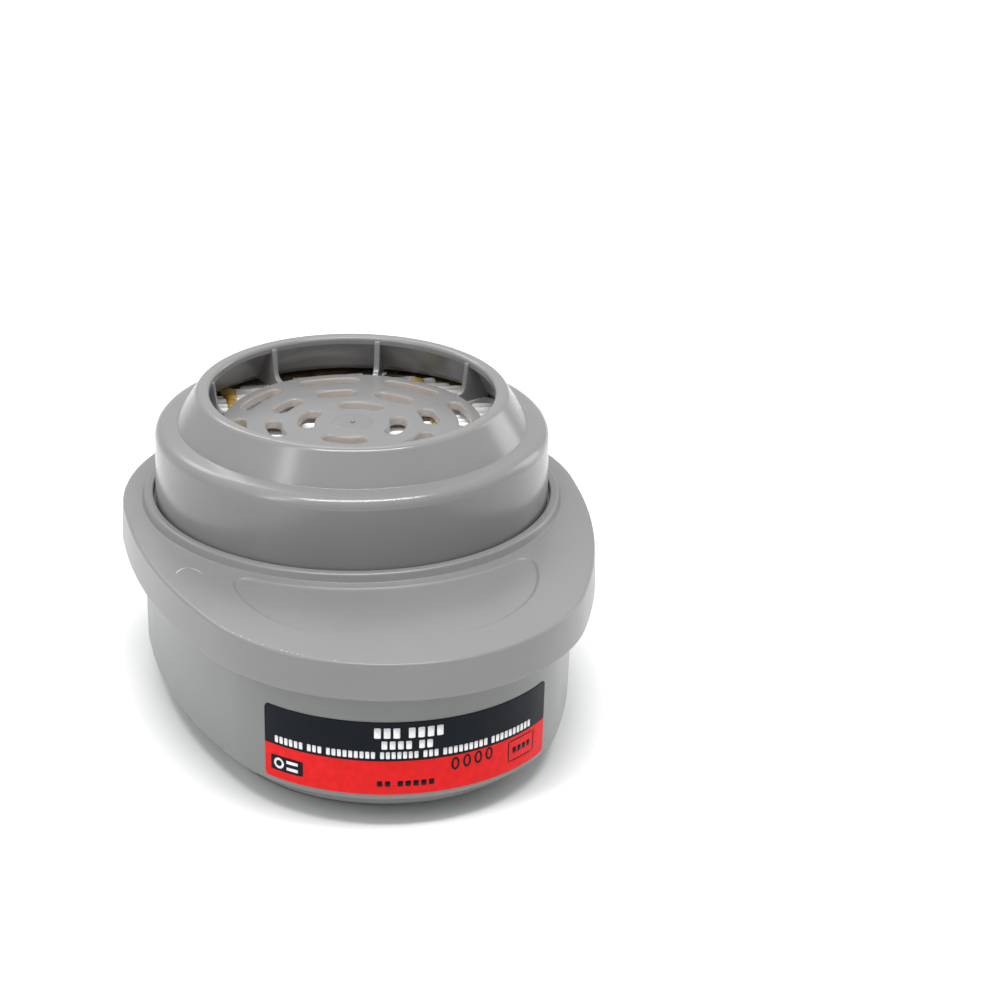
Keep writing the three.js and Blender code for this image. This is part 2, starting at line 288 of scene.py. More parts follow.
def slot_outline(centre, radius, width, middle, length):
    """A curved slot with round ends, clockwise. Angles are measured from the front towards +X."""
    start = math.radians(middle - length / 2 - 90)
    end = math.radians(middle + length / 2 - 90)
    half = width / 2
    inset = half / radius
    start += inset
    end -= inset
    first = centre + radius * Vector((math.cos(start), math.sin(start)))
    last = centre + radius * Vector((math.cos(end), math.sin(end)))
    side_steps = 14
    end_steps = 8
    points = arc(centre, radius + half, start, end, side_steps)
    points += arc(last, half, end, end + math.pi, end_steps)
    points += arc(centre, radius - half, end, start, side_steps)
    points += arc(first, half, start + math.pi, start + TURN, end_steps)
    return points[::-1]


def polar(radius, angle, height):
    """A point about the drum axis, its angle in degrees from the front towards +X."""
    turn = math.radians(angle - 90)
    return Vector((DRUM.x + radius * math.cos(turn), DRUM.y + radius * math.sin(turn), height))


# ---------------------------------------------------------------- materials

class Nodes:
    """A material's node tree, with short calls for the nodes used here."""

    def __init__(self, name, **values):
        self.material = bpy.data.materials.new(name)
        self.material.use_nodes = True
        self.tree = self.material.node_tree
        self.shader = self.tree.nodes["Principled BSDF"]
        for socket, value in values.items():
            self.shader.inputs[socket.replace("_", " ")].default_value = value
        self.place = self.tree.nodes.new("ShaderNodeTexCoord").outputs["Object"]

    def link(self, source, target):
        self.tree.links.new(source, target)

    def stretched(self, scale):
        node = self.tree.nodes.new("ShaderNodeMapping")
        node.inputs["Scale"].default_value = scale
        self.link(self.place, node.inputs["Vector"])
        return node.outputs["Vector"]

    def noise(self, scale, detail=2.0, place=None, roughness=0.5):
        node = self.tree.nodes.new("ShaderNodeTexNoise")
        node.inputs["Scale"].default_value = scale
        node.inputs["Detail"].default_value = detail
        node.inputs["Roughness"].default_value = roughness
        self.link(place or self.place, node.inputs["Vector"])
        return node.outputs["Fac"]

    def cells(self, scale):
        node = self.tree.nodes.new("ShaderNodeTexVoronoi")
        node.inputs["Scale"].default_value = scale
        self.link(self.place, node.inputs["Vector"])
        return node

    def spread(self, value, low, high, to_low, to_high):
        """Maps low..high to to_low..to_high, held at the ends."""
        node = self.tree.nodes.new("ShaderNodeMapRange")
        for i, number in enumerate((low, high, to_low, to_high), 1):
            node.inputs[i].default_value = number
        self.link(value, node.inputs["Value"])
        return node.outputs["Result"]

    def maths(self, operation, a, b):
        node = self.tree.nodes.new("ShaderNodeMath")
        node.operation = operation
        for socket, value in zip(node.inputs, (a, b)):
            if isinstance(value, (int, float)):
                socket.default_value = value
            else:
                self.link(value, socket)
        return node.outputs["Value"]

    def mix(self, factor, a, b):
        node = self.tree.nodes.new("ShaderNodeMix")
        node.data_type = "RGBA"
        self.link(factor, node.inputs["Factor"])
        for socket, value in ((node.inputs[6], a), (node.inputs[7], b)):
            if isinstance(value, tuple):
                socket.default_value = (*value, 1)
            else:
                self.link(value, socket)
        return node.outputs[2]

    def colour(self, source):
        self.link(source, self.shader.inputs["Base Color"])

    def rough(self, source):
        self.link(source, self.shader.inputs["Roughness"])

    def bump(self, *layers):
        """Stacks bumps of (height, strength, distance in metres), the first one deepest."""
        below = None
        for height, strength, distance in layers:
            node = self.tree.nodes.new("ShaderNodeBump")
            node.inputs["Strength"].default_value = strength
            node.inputs["Distance"].default_value = distance
            self.link(height, node.inputs["Height"])
            if below:
                self.link(below, node.inputs["Normal"])
            below = node.outputs["Normal"]
        self.link(below, self.shader.inputs["Normal"])


def shade(colour, factor):
    return tuple(channel * factor for channel in colour)


def moulded(name, colour, roughness):
    """Semi-gloss moulded plastic: faint flow clouds, dust, hairline scuffs and a fine grain."""
    reach = (1.0, 0.8, 0.62)
    nodes = Nodes(name, Subsurface_Weight=0.12, Subsurface_Scale=0.002, Subsurface_Radius=reach)
    tone = nodes.mix(nodes.noise(38, 3), shade(colour, 0.9), shade(colour, 1.1))
    cells = nodes.cells(170)
    speck = nodes.spread(cells.outputs["Distance"], 0.014, 0.026, 1.0, 0.0)
    chosen = nodes.spread(cells.outputs["Color"], 0.78, 0.8, 0.0, 0.6)
    nodes.colour(nodes.mix(nodes.maths("MULTIPLY", speck, chosen), tone, shade(colour, 0.3)))
    hair = nodes.noise(3200, 1, nodes.stretched((0.03, 1.0, 1.0)))
    scuffs = nodes.spread(hair, 0.72, 0.8, 0.0, 0.03)
    patches = nodes.spread(nodes.noise(75, 3), 0.0, 1.0, -0.045, 0.045)
    dulled = nodes.maths("ADD", patches, scuffs)
    nodes.rough(nodes.maths("ADD", dulled, roughness))
    nodes.bump(
        (nodes.noise(48, 1), 0.3, 0.00005),
        (nodes.noise(2600, 2), 0.08, 0.00001),
    )
    return nodes.material


def label_ink(name, colour):
    nodes = Nodes(name, Specular_IOR_Level=0.1)
    grain = nodes.spread(nodes.noise(700, 4), 0.35, 0.65, 0.0, 1.0)
    nodes.colour(nodes.mix(grain, shade(colour, 0.93), shade(colour, 1.07)))
    nodes.rough(nodes.spread(nodes.noise(220, 3), 0.3, 0.7, 0.34, 0.46))
    nodes.bump((nodes.noise(420, 3), 0.12, 0.00002))
    return nodes.material


def filter_paper():
    nodes = Nodes("filter_paper")
    fibres = nodes.noise(2400, 4, nodes.stretched((0.25, 1.0, 1.0)), 0.7)
    tone = nodes.spread(fibres, 0.3, 0.7, 0.0, 1.0)
    nodes.colour(nodes.mix(tone, (0.93, 0.92, 0.9), (0.99, 0.98, 0.97)))
    nodes.rough(nodes.spread(fibres, 0.3, 0.7, 0.8, 0.95))
    nodes.bump((fibres, 0.5, 0.00006))
    return nodes.material


def hot_melt(name, deep, thin, clear):
    """Set glue: streaks of a deep and a thin colour, with a wet gloss."""
    nodes = Nodes(name, Transmission_Weight=clear, IOR=1.5, Coat_Weight=1.0, Coat_Roughness=0.04)
    swirl = nodes.spread(nodes.noise(320, 3), 0.3, 0.7, 0.0, 1.0)
    nodes.colour(nodes.mix(swirl, deep, thin))
    nodes.rough(nodes.spread(nodes.noise(500, 2), 0.3, 0.7, 0.06, 0.2))
    nodes.bump((nodes.noise(900, 2), 0.3, 0.0001))
    return nodes.material


def sealant():
    nodes = Nodes("sealant")
    lumps = nodes.noise(380, 3)
    tone = nodes.spread(lumps, 0.3, 0.7, 0.0, 1.0)
    nodes.colour(nodes.mix(tone, (0.13, 0.12, 0.1), (0.22, 0.2, 0.17)))
    nodes.rough(nodes.spread(lumps, 0.3, 0.7, 0.25, 0.45))
    nodes.bump((lumps, 0.4, 0.0002))
    return nodes.material


def felt_cloth():
    nodes = Nodes("felt", Sheen_Weight=0.3)
    hairs = nodes.noise(1500, 5, roughness=0.75)
    tone = nodes.spread(hairs, 0.3, 0.7, 0.0, 1.0)
    nodes.colour(nodes.mix(tone, (0.62, 0.6, 0.56), (0.84, 0.83, 0.79)))
    nodes.rough(nodes.spread(hairs, 0.3, 0.7, 0.85, 1.0))
    nodes.bump((hairs, 0.8, 0.0002))
    return nodes.material


def carbon_grain():
    nodes = Nodes("carbon_grain")
    cells = nodes.cells(900)
    facets = cells.outputs["Color"]
    tone = nodes.spread(facets, 0.0, 1.0, 0.0, 1.0)
    nodes.colour(nodes.mix(tone, (0.012, 0.012, 0.013), (0.05, 0.05, 0.055)))
    nodes.rough(nodes.spread(facets, 0.0, 1.0, 0.45, 0.9))
    nodes.bump((cells.outputs["Distance"], 1.0, 0.0006))
    return nodes.material


def pale_floor():
    nodes = Nodes("pale_floor")
    tint = nodes.spread(nodes.noise(4, 2), 0.3, 0.7, 0.0, 1.0)
    nodes.colour(nodes.mix(tint, (0.88, 0.88, 0.88), (0.9, 0.9, 0.9)))
    nodes.rough(nodes.spread(nodes.noise(30, 2), 0.3, 0.7, 0.5, 0.6))
    return nodes.material


cup_grey = moulded("cup_plastic", (0.170, 0.177, 0.170), 0.335)
lid_grey = moulded("lid_plastic", (0.190, 0.186, 0.184), 0.335)
shell_grey = moulded("shell_plastic", (0.197, 0.194, 0.193), 0.205)
# The slot walls' warm light grey is painted light: it stands in for the light that the white paper below
# bounces and the thin plastic lets through onto them
slot_painted_light = moulded("slot_wall_painted_light", (0.46, 0.42, 0.385), 0.4)
score_grey = moulded("scored_plastic", (0.55, 0.54, 0.53), 0.5)
grid_white = moulded("grid_plastic", (0.66, 0.65, 0.61), 0.4)
label_black = label_ink("label_black", (0.004, 0.007, 0.011))
label_red = label_ink("label_red", (0.68, 0.013, 0.013))
label_white = label_ink("label_white", (0.82, 0.82, 0.82))
paper = filter_paper()
amber = hot_melt("hot_melt", (0.42, 0.24, 0.02), (0.85, 0.6, 0.14), 0.35)
# A near-black copy of the amber hot-melt for the potting: its darkness is painted shade of the dark
# corner under the shoulder where the glue lies
potting_painted_shade = hot_melt("potting_glue_painted_shade", (0.012, 0.008, 0.004), (0.09, 0.05, 0.012), 0.1)
glue = sealant()
felt = felt_cloth()
carbon = carbon_grain()


def place(piece, node, slot, *materials):
    """Gives a finished piece its materials and its body, and hides the CAD node that it stands for."""
    for material in materials:
        piece.data.materials.append(material)
    even = piece.modifiers.new("even_normals", "WEIGHTED_NORMAL")
    even.keep_sharp = True
    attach(piece, "root")
    if node:
        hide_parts(node)
    return piece


# ---------------------------------------------------------------- cup and connector

def make_cup():
    """Drafted wall, stepped floor with the connector's hole, and the lip under the lid."""
    hole = BOSS_RADIUS - 6.0
    lip_inset = 2.7
    lip_bottom = cup_high.z - 2.0
    guide = STEP_INSET + 6.0
    floor_top = STEP_BOTTOM + CUP_FLOOR
    ledge_top = CUP_BOTTOM + CUP_WALL
    outer = rounded([
        (lip_inset, cup_high.z, 0.3),
        (lip_inset, lip_bottom, 0.2),
        (CUP_INSET - CUP_DRAFT / 2, lip_bottom, 0.3),
        (CUP_INSET + CUP_DRAFT / 2, CUP_BOTTOM, 1.3),
        (STEP_INSET - 0.2, CUP_BOTTOM, 0.35),
        (STEP_INSET, STEP_BOTTOM, 0.7),
        (guide, STEP_BOTTOM, 0),
    ])[:-1]
    inner = rounded([
        (guide, floor_top, 0),
        (STEP_INSET + CUP_WALL, floor_top, 0.5),
        (STEP_INSET + CUP_WALL, ledge_top, 0.3),
        (CUP_INSET + CUP_WALL, ledge_top, 0.5),
        (CUP_INSET + CUP_WALL - 0.1, cup_high.z, 0.3),
    ])[1:]
    rings = [egg_ring(p.x, p.y) for p in outer]
    hole_edge = ((hole + SUPPORT, STEP_BOTTOM), (hole, STEP_BOTTOM), (hole, floor_top))
    for radius, height in hole_edge:
        rings.append(fan_ring(SOCKET, radius, height, STEP_INSET))
    rings += [egg_ring(p.x, p.y) for p in inner]
    place(loft("cup", rings), "cup_body", "cup_plastic", cup_grey)


def make_connector():
    """Boss ring, socket tube and the three lugs that a facepiece locks behind."""
    socket = BOSS_RADIUS - 7.8
    tube = BOSS_RADIUS - 6.05
    seat = STEP_BOTTOM - 0.02
    ring = revolve("connector", SOCKET, [
        (socket, FLOOR, 0.4),
        (BOSS_RADIUS, FLOOR, 0.7),
        (BOSS_RADIUS - 0.1, seat, 0.1),
        (tube, seat, 0.1),
        (tube, boss_high.z, 0.3),
        (socket, boss_high.z, 0.3),
    ])
    lugs = 3
    half_lug = 20
    root = socket + 0.6
    reach = socket - 2.5
    steps = 16
    for i in range(lugs):
        middle = 360 // lugs * i - 90
        start = math.radians(middle - half_lug)
        end = math.radians(middle + half_lug)
        outline = arc(SOCKET, root, start, end, steps)
        outline.append(SOCKET + root * Vector((math.cos(end), math.sin(end))))
        outline += arc(SOCKET, reach, end, start, steps)
        outline.append(SOCKET + reach * Vector((math.cos(start), math.sin(start))))
        lug = plate("lug", outline, [], FLOOR + 0.5, FLOOR + 2.3, 0.25)
        combine(ring, lug, "UNION")
    place(ring, "bayonet_connector", "cup_plastic", cup_grey)


# ---------------------------------------------------------------- lid

def lens_outline(grow):
    """The crescent recess in front of the drum, its two tips rounded, moved outwards by grow."""
    inner = 42.0 - grow
    outer = NOSE_RADIUS - 9.5 + grow
    tip = 1.9 + grow
    nose = DRUM - Vector((0, NOSE_CENTRE))
    # The tip's centre keeps its distance from both arcs
    far = outer - tip
    near = inner + tip
    along = (near ** 2 - far ** 2 + NOSE_CENTRE ** 2) / (2 * NOSE_CENTRE)
    aside = math.sqrt(near ** 2 - along ** 2)
    right = DRUM + Vector((aside, -along))
    left = DRUM + Vector((-aside, -along))
    lean = math.atan2(aside, along)
    swing = math.atan2(right.y - nose.y, right.x - nose.x)
    long_steps = 60
    tip_steps = 10
    front = arc(nose, outer, math.pi - swing, TURN + swing, long_steps)
    right_tip = arc(right, tip, swing, math.pi / 2 + lean, tip_steps)
    back = arc(DRUM, inner, lean - math.pi / 2, -lean - math.pi / 2, long_steps)
    left_tip = arc(left, tip, math.pi / 2 - lean, math.pi - swing, tip_steps)
    return front + right_tip + back + left_tip


def lens_cutter():
    """The recess's solid: a rounded top edge, a short wall and a small root fillet."""
    profile = ((0.68, 0.15), (0.44, -0.02), (0.32, -0.09), (0.08, -0.26), (-0.1, -0.3))
    rings = []
    for grow, height in profile:
        rings.append(lifted(lens_outline(grow), LID_TOP + height))
    return loft("lens", rings, closed=False)


def make_cover():
    """Lid plate with its skirt, the bead round the drum, the locating collar and the air opening."""
    plate_under = LID_TOP - LID_THICK
    opening = 31.0
    collar = opening + 1.5
    bead_out = 39.2
    bead_in = 37.4
    bead_top = LID_TOP + 1.55
    skirt_thick = 2.4
    skirt = rounded([
        (6.0, plate_under, 0),
        (skirt_thick, plate_under, 0.5),
        (skirt_thick, SKIRT_BOTTOM, 0.35),
        (0.0, SKIRT_BOTTOM, 0.25),
        (0.3, LID_TOP, 0.55),
        (4.0, LID_TOP, 0),
    ])[1:-1]
    hub = rounded([
        (BACK_RADIUS - 3.0, LID_TOP, 0),
        (bead_out + 0.3, LID_TOP, 0.2),
        (bead_out - 0.3, bead_top, 0.6),
        (bead_in, bead_top, 0.3),
        (bead_in, LID_TOP, 0.1),
        (collar, LID_TOP, 0.2),
        (collar, lid_high.z, 0.3),
        (opening, lid_high.z, 0.3),
        (opening, plate_under, 0.3),
        (opening + 4.0, plate_under, 0),
    ])[1:-1]
    rings = [egg_ring(p.x, p.y) for p in skirt]
    rings += [fan_ring(DRUM, p.x, p.y, 0) for p in hub]
    lid = loft("cover_lid", rings)
    combine(lid, lens_cutter(), "DIFFERENCE")
    # The cut leaves flat faces with many sides, which smooth shading would bend
    for face in lid.data.polygons:
        if len(face.vertices) > 4:
            face.use_smooth = False
    bars = []
    for turn in (0, 60, 120):
        bars.append(spoke(opening + 0.5, 1.6, turn, plate_under, LID_TOP))
    hub_radius = 6.0
    bars.append(revolve("spoke_hub", DRUM, [
        (0, plate_under, 0),
        (hub_radius, plate_under, 0.3),
        (hub_radius, LID_TOP, 0.3),
        (0, LID_TOP, 0),
    ], 64))
    join(lid, bars)
    place(lid, "cover", "lid_plastic", lid_grey)


def spoke(reach, width, turn, bottom, top):
    """A straight bar across the air opening."""
    corners = rounded([
        (-width / 2, bottom, 0.25),
        (width / 2, bottom, 0.25),
        (width / 2, top, 0.25),
        (-width / 2, top, 0.25),
    ])
    angle = math.radians(turn)
    along = Vector((math.cos(angle), math.sin(angle)))
    aside = Vector((-along.y, along.x))
    rings = []
    for end in (-reach, reach):
        rings.append([(DRUM + along * end + aside * p.x).to_3d() + Vector((0, 0, p.y)) for p in corners])
    return loft("spoke", rings, closed=False)


def scratch(start, end, bow, width):
    """A shallow curved score on the lid's top, its raised burr a hair above the face."""
    steps = 10
    root = LID_TOP - 0.01
    burr = LID_TOP + 0.012
    line = end - start
    aside = Vector((-line.y, line.x)).normalized()
    rings = []
    for i in range(steps + 1):
        share = i / steps
        half = width / 2 * math.sin(math.pi * (0.04 + 0.92 * share))
        spot = start + line * share + aside * bow * math.sin(math.pi * share)
        near = spot - aside * half
        far = spot + aside * half
        rings.append(lifted([near, far], root) + lifted([far, near], burr))
    return loft("scratch", rings, closed=False)


def make_scratches():
    """Scores on the lid's top and chips along its left front edge, left by handling."""
    # Each score's two ends from the drum's axis, its bow and its width
    long_scores = (
        ((-37.0, -30.0), (-34.6, -27.6), 0.5, 0.24),
        ((-34.4, -27.7), (-32.4, -30.6), 0.3, 0.14),
        ((34.5, 24.5), (31.5, 27.5), 0.4, 0.16),
    )
    scores = []
    for start, end, bow, width in long_scores:
        scores.append(scratch(DRUM + Vector(start), DRUM + Vector(end), bow, width))
    rng = random.Random(11)
    chips = 14
    outline = egg(0.75)
    nose_start = BACK_STEPS + SIDE_STEPS
    for _ in range(chips):
        spot = outline[nose_start + rng.randrange(4, 34)]
        size = rng.uniform(0.15, 0.4)
        swing = rng.uniform(0, TURN)
        reach = Vector((math.cos(swing), math.sin(swing))) * size
        scores.append(scratch(spot - reach, spot + reach, size * 0.2, 0.1))
    join(scores[0], scores[1:])
    scores[0].name = "lid_scratches"
    place(scores[0], None, "lid_plastic", score_grey)


# ---------------------------------------------------------------- filter shell

def fin(angle):
    """A thin upright fin from the grille's edge to the sloping collar."""
    bottom = GRILLE_TOP - GRILLE_THICK + 0.15
    root = 31.4
    outline = [
        (GRILLE_RADIUS - 0.6, bottom),
        (root, bottom),
        (root, GRILLE_TOP),
        (28.4, RIM_TOP - 0.9),
        (26.9, RIM_TOP - 0.6),
        (26.5, RIM_TOP - 0.75),
        (26.25, RIM_TOP - 1.2),
        (26.0, RIM_TOP - 3.6),
        (25.75, GRILLE_TOP + 1.3),
        (25.45, GRILLE_TOP + 0.6),
        (24.9, GRILLE_TOP + 0.15),
        (23.9, GRILLE_TOP - 0.08),
    ]
    aside = polar(1, angle + 90, 0) - DRUM.to_3d()
    half = 0.55
    # How far the free edge draws back at each depth below the fin's two faces
    edge = ((0, 0.16), (0.06, 0.05), (0.18, 0))
    layers = [(depth - half, shrink) for depth, shrink in edge]
    layers += [(half - depth, shrink) for depth, shrink in reversed(edge)]
    rings = []
    for across, shrink in layers:
        ring = []
        for radius, height in outline:
            inward = shrink if radius < 28 else 0
            ring.append(polar(radius + inward, angle, height) + aside * across)
        rings.append(ring)
    return loft("fin", rings, closed=False)


# Slot rings of the grille: radius, width, count, length in degrees and the first one's place
SLOT_RINGS = ((21.2, 2.5, 8, 33, 182.5), (14.8, 2.9, 8, 30, 182.5), (8.6, 3.0, 4, 57, 160))


def make_filter_shell():
    """Drum, shoulder, sloping collar, rolled rim, fins and the slotted grille, in one moulding."""
    crest = RIM_TOP - 6.7
    foot = shell_low.z - 0.25
    wall = DRUM_RADIUS - 2.2
    shell = revolve("shell", DRUM, [
        (wall, foot, 0.3),
        (DRUM_RADIUS - 0.02, foot, 0.2),
        (DRUM_RADIUS - 0.15, crest, 2.1),
        (32.8, RIM_TOP - 6.15, 0.25),
        (28.95, RIM_TOP, 1.15),
        (26.6, RIM_TOP, 1.1),
        (26.65, RIM_TOP - 1.6, 0.25),
        (28.0, RIM_TOP - 1.7, 0.3),
        (30.9, RIM_TOP - 7.4, 0.3),
        (32.2, crest - 2.0, 0.4),
        (wall, crest - 2.0, 0.8),
    ])
    slots = []
    for radius, width, count, length, first in SLOT_RINGS:
        for i in range(count):
            slots.append(slot_outline(DRUM, radius, width, first + 360 / count * i, length))
    edge = circle(DRUM, GRILLE_RADIUS, 128)
    grille = plate("grille", edge, slots, GRILLE_TOP - GRILLE_THICK, GRILLE_TOP, 0.3)
    hub = revolve("grille_hub", DRUM, [
        (0, GRILLE_TOP - 0.5, 0),
        (4.3, GRILLE_TOP - 0.5, 0),
        (3.8, GRILLE_TOP + 0.05, 0.5),
        (0, GRILLE_TOP + 0.05, 0),
    ], 64)
    gate = revolve("gate_mark", DRUM, [
        (0, GRILLE_TOP - 0.2, 0),
        (0.55, GRILLE_TOP - 0.2, 0),
        (0.4, GRILLE_TOP + 0.4, 0.25),
        (0, GRILLE_TOP + 0.3, 0),
    ], 24)
    fins = [fin(FIRST_FIN + 360 // FIN_COUNT * i) for i in range(FIN_COUNT)]
    join(shell, [grille, hub, gate] + fins)
    place(shell, "filter_shell", "shell_plastic", shell_grey, slot_painted_light)
    # The slots' walls take the second material, a lighter copy of the shell plastic that paints in the
    # light bounced up from the white paper below
    for face in shell.data.polygons:
        spot = face.center / MM
        reach = (spot.to_2d() - DRUM).length
        if 5 < reach < GRILLE_RADIUS - 1 and abs(face.normal.z) < 0.7 and spot.z < GRILLE_TOP - 0.1:
            face.material_index = 1


# ---------------------------------------------------------------- media, glue and pads

def make_media():
    """Folded glass-fibre paper, its folds running left to right, cut round."""
    rng = random.Random(4)
    radius = media_high.x - 0.05
    half = int(radius / FOLD_PITCH) * FOLD_PITCH - FOLD_PITCH / 2
    low = media_low.z + 0.3
    # Points of one fold: the share of its pitch, and the height over its valley or under its crest
    valley = ((0, 0.25), (0.12, 0), (0.25, 0.6), (0.92, 0.6))
    crest = ((0.42, 0.9), (0.5, 0.15), (0.58, 0), (0.67, 0.15), (0.75, 0.9))
    fold_points = []
    y = -half
    while y < half:
        high = media_high.z + rng.uniform(0.0, 0.45)
        step = FOLD_PITCH * rng.uniform(0.88, 1.12)
        fold = [(y + share * step, low + rise) for share, rise in valley]
        fold += [(y + share * step, high - fall) for share, fall in crest]
        fold_points += sorted(fold)
        y += step
    fold_points = [p for p in fold_points if abs(p[0]) < radius - 0.6]
    half_thick = 0.18
    columns = 48
    top = []
    under = []
    for i, (across, up) in enumerate(fold_points):
        before = Vector(fold_points[max(i - 1, 0)])
        after = Vector(fold_points[min(i + 1, len(fold_points) - 1)])
        side = (after - before).normalized()
        side = Vector((-side.y, side.x)) * half_thick
        reach = math.sqrt(radius ** 2 - across ** 2) - 0.1
        for rows, sign in ((top, 1), (under, -1)):
            row = []
            for k in range(columns + 1):
                x = reach * (2 * k / columns - 1)
                ripple = 0.28 * noise.noise(Vector((x * 0.09, across * 0.35, 3.0)))
                dip = 0.2 * noise.noise(Vector((x * 0.16, across * 0.4, 9.0)))
                along = DRUM.y + across + sign * side.x + ripple
                row.append(Vector((DRUM.x + x, along, up + sign * side.y + dip)))
            rows.append(row)
    rings = [t + u[::-1] for t, u in zip(top, under)]
    place(loft("media", rings, closed=False), "pleated_media", "filter_paper", paper)


def make_separator(name, node, seed):
    """A hot-melt string laid across the folds: it sags between them and ends in a blob behind."""
    low, high = box_mm(node)
    middle = (low.x + high.x) / 2
    moved_left = 1.8
    half_wide = 1.15
    half_tall = 0.62
    reach = high.y - DRUM.y
    rings = []
    steps = 150
    blob = 8
    sides = 14
    for i in range(steps + 1):
        across = reach * (2 * i / steps - 1)
        sag = 0.5 + 0.5 * math.cos(TURN * across / FOLD_PITCH)
        wander = noise.noise(Vector((across * 0.12, seed, 0))) * 0.8
        swell = 0.75 + 0.35 * noise.noise(Vector((across * 0.5, seed, 5))) + 0.2 * sag
        if i > steps - blob:
            swell += 0.5
        if i in (0, steps):
            swell *= 0.4
        height = low.z + 0.3 - 0.55 * (1 - sag)
        centre = Vector((middle - moved_left + wander, DRUM.y + across, height))
        ring = []
        for k in range(sides):
            angle = TURN * k / sides
            wide = half_wide * swell * math.cos(angle)
            tall = half_tall * swell * math.sin(angle)
            ring.append(centre + Vector((wide, 0, tall)))
        rings.append(ring)
    place(loft(name, rings, closed=False), node, "hot_melt", amber)


def make_potting():
    """The glue that seals the media to the shell: it creeps up the wall and into the folds."""
    outer = potting_high.x + 0.25
    pool_reach = 2.6
    pool_middle = 182
    pool_half = 28
    rings = []
    steps = 360
    for i in range(steps):
        angle = 360 * i / steps
        turn = math.radians(angle)
        fold = 0.5 + 0.5 * math.cos(TURN * outer * math.cos(turn) / FOLD_PITCH)
        lump = noise.noise(Vector((3 * math.cos(turn), 3 * math.sin(turn), 2.0)))
        fine = noise.noise(Vector((14 * math.cos(turn), 14 * math.sin(turn), 7.0)))
        pool = pool_reach * max(0, 1 - ((angle - pool_middle) / pool_half) ** 2)
        inner = media_high.x + 0.1 - 0.45 * fold - 0.5 * lump - 0.4 * fine - pool
        top = potting_high.z - 0.1 + 0.2 * lump + 0.2 * fine
        ring = []
        for radius, height in rounded([
            (inner, potting_low.z, 0.3),
            (outer, potting_low.z, 0.3),
            (outer, top + 0.5, 0.1),
            (inner + 1.0, top + 0.15, 0.4),
            (inner, top - 0.6, 0.4),
        ]):
            ring.append(polar(radius, angle, height))
        rings.append(ring)
    # The glue's near-black colour here is painted shade
    place(loft("potting", rings), "potting_ring", "hot_melt", potting_painted_shade)


def make_felt(name, node):
    """A die-cut felt layer with soft edges and a slightly uneven face."""
    low, high = box_mm(node)
    inset = BACK_RADIUS - high.x
    middle = DRUM - Vector((0, 14))
    bottom = low.z + 0.05
    top = high.z - 0.05
    border = 0.9
    edge = rounded([
        (0.05, bottom, 0.5),
        (0.05, top, 0.5),
        (border, top, 0),
        (border, bottom, 0),
    ])
    rim = [p for p in edge if p.x < border - 0.1]
    shares = [0.98, 0.9, 0.75, 0.55, 0.35, 0.15, 0.02]

    def shrunk(share, height):
        """The outline drawn in towards the middle, with an uneven height."""
        ring = []
        for p in egg(inset + border):
            spot = middle + (p - middle) * share
            lift = 0.06 * noise.noise(Vector((spot.x * 0.4, spot.y * 0.4, height)))
            ring.append(Vector((spot.x, spot.y, height + lift - 0.04)))
        return ring

    rings = [shrunk(share, bottom + 0.05) for share in reversed(shares)]
    rings += [egg_ring(inset + p.x, p.y) for p in rim]
    rings += [shrunk(share, top) for share in shares]
    piece = loft(name, rings, closed=False)
    place(piece, node, "felt", felt)


def straight_slots(inset):
    """Parallel slots with round ends, in two halves either side of a spine, clockwise."""
    slots = []
    half_spine = 2.5
    pitch = 7.5
    half = 1.6
    steps = 10
    outline = egg(inset)
    y = lid_low.y + pitch
    while y < DRUM.y + BACK_RADIUS:
        reach = min(edge_at(outline, y - half), edge_at(outline, y + half)) - 0.4
        if reach > half_spine + 2 * half + 1:
            for side in (-1, 1):
                near = Vector((side * (half_spine + half), y))
                far = Vector((side * (reach - half), y))
                left, right = (near, far) if side > 0 else (far, near)
                points = arc(left, half, math.pi / 2, 1.5 * math.pi, steps)
                points += arc(right, half, -math.pi / 2, math.pi / 2, steps)
                slots.append(points[::-1])
        y += pitch
    return slots


def edge_at(outline, y):
    """How far an outline reaches to the right at one distance along y, or 0."""
    best = 0
    for a, b in zip(outline, outline[1:] + outline[:1]):
        if min(a.y, b.y) <= y <= max(a.y, b.y) and a.y != b.y:
            best = max(best, a.x + (b.x - a.x) * (y - a.y) / (b.y - a.y))
    return best


def make_slotted_plate(name, node):
    """A moulded plate that holds a felt pad and lets the air through."""
    low, high = box_mm(node)
    inset = BACK_RADIUS - high.x
    piece = plate(name, egg(inset), straight_slots(inset + 5.0), low.z, high.z, 0.2)
    place(piece, node, "grid_plastic", grid_white)


def make_seal_beads():
    """The hidden glue under the lid's skirt and the one between the lid's collar and the drum."""
    low, high = box_mm("cover_seal_bead")
    corners = rounded([
        (2.45, low.z + 0.1, 0.4),
        (2.45, high.z, 0.2),
        (4.75, high.z, 0.2),
        (4.9, low.z + 0.25, 0.5),
    ])
    ring = loft("cover_seal", [egg_ring(p.x, p.y) for p in corners])
    place(ring, "cover_seal_bead", "sealant", glue)
    low, high = box_mm("shell_seal_bead")
    inner = 32.55
    outer = high.x + 0.2
    ring = revolve("shell_seal", DRUM, [
        (inner, low.z - 0.2, 0.2),
        (outer, low.z - 0.2, 0.2),
        (outer, high.z - 0.2, 0.3),
        (inner, high.z - 0.6, 0.3),
    ], 160)
    place(ring, "shell_seal_bead", "sealant", glue)


# ---------------------------------------------------------------- label

WALL_RADIUS = NOSE_RADIUS - CUP_INSET


def on_label(along, up, proud):
    """A point on the cup's front wall: along it from the middle, at a height, proud of it."""
    draft = CUP_DRAFT * (0.5 - (up - CUP_BOTTOM) / (cup_high.z - CUP_BOTTOM))
    radius = WALL_RADIUS - draft + proud
    angle = along / WALL_RADIUS - math.pi / 2
    centre = DRUM - Vector((0, NOSE_CENTRE))
    spot = centre + radius * Vector((math.cos(angle), math.sin(angle)))
    return Vector((spot.x, spot.y, up))


